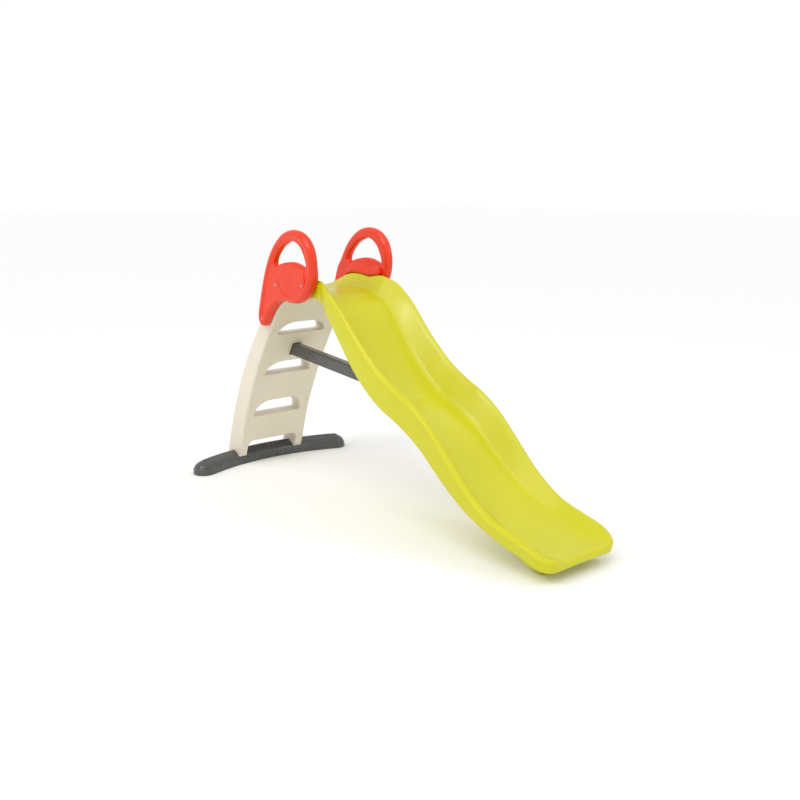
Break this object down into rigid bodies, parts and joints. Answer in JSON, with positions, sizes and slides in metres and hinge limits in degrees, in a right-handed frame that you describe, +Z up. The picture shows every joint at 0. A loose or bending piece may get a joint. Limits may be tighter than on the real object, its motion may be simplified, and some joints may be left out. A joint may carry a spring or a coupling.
{
  "type": "children's slide",
  "caption": "Free-standing children's slide with a double-wave chute, ladder panel, two loop handles, a strut and a curved base bar.",
  "frame": {"origin": "on the ground at the centre of the footprint's bounding box", "axes": "+X is the sliding direction from ladder to exit, +Y is across the chute and the plastic pieces are mirror images about the plane y = 0, +Z is up"},
  "size_m": [2.2659, 0.95, 1.25],
  "materials": {
    "lime_plastic": "satin gloss, blow-moulded",
    "ivory_plastic": "satin, blow-moulded",
    "red_plastic": "satin gloss, blow-moulded",
    "dark_plastic": "satin, blow-moulded",
    "zinc_steel": "zinc plated",
    "insert_brass": "plain brass"
  },
  "bodies": {
    "root": {"chute": "lime_plastic", "ladder": "ivory_plastic", "handle_left": "red_plastic", "handle_right": "red_plastic", "strut": "dark_plastic", "base_bar": "dark_plastic", "handle_screws_left": "zinc_steel", "handle_screws_right": "zinc_steel", "handle_washers_left": "zinc_steel", "handle_washers_right": "zinc_steel", "leg_screws": "zinc_steel", "leg_washers": "zinc_steel", "foot_screws": "zinc_steel", "foot_washers": "zinc_steel", "foot_inserts": "insert_brass", "strut_screw": "zinc_steel", "strut_screw_washer": "zinc_steel", "strut_insert": "insert_brass", "strut_cross_bolt": "zinc_steel", "strut_cross_washers": "zinc_steel", "strut_cross_nut": "zinc_steel"}
  },
  "joints": []
}
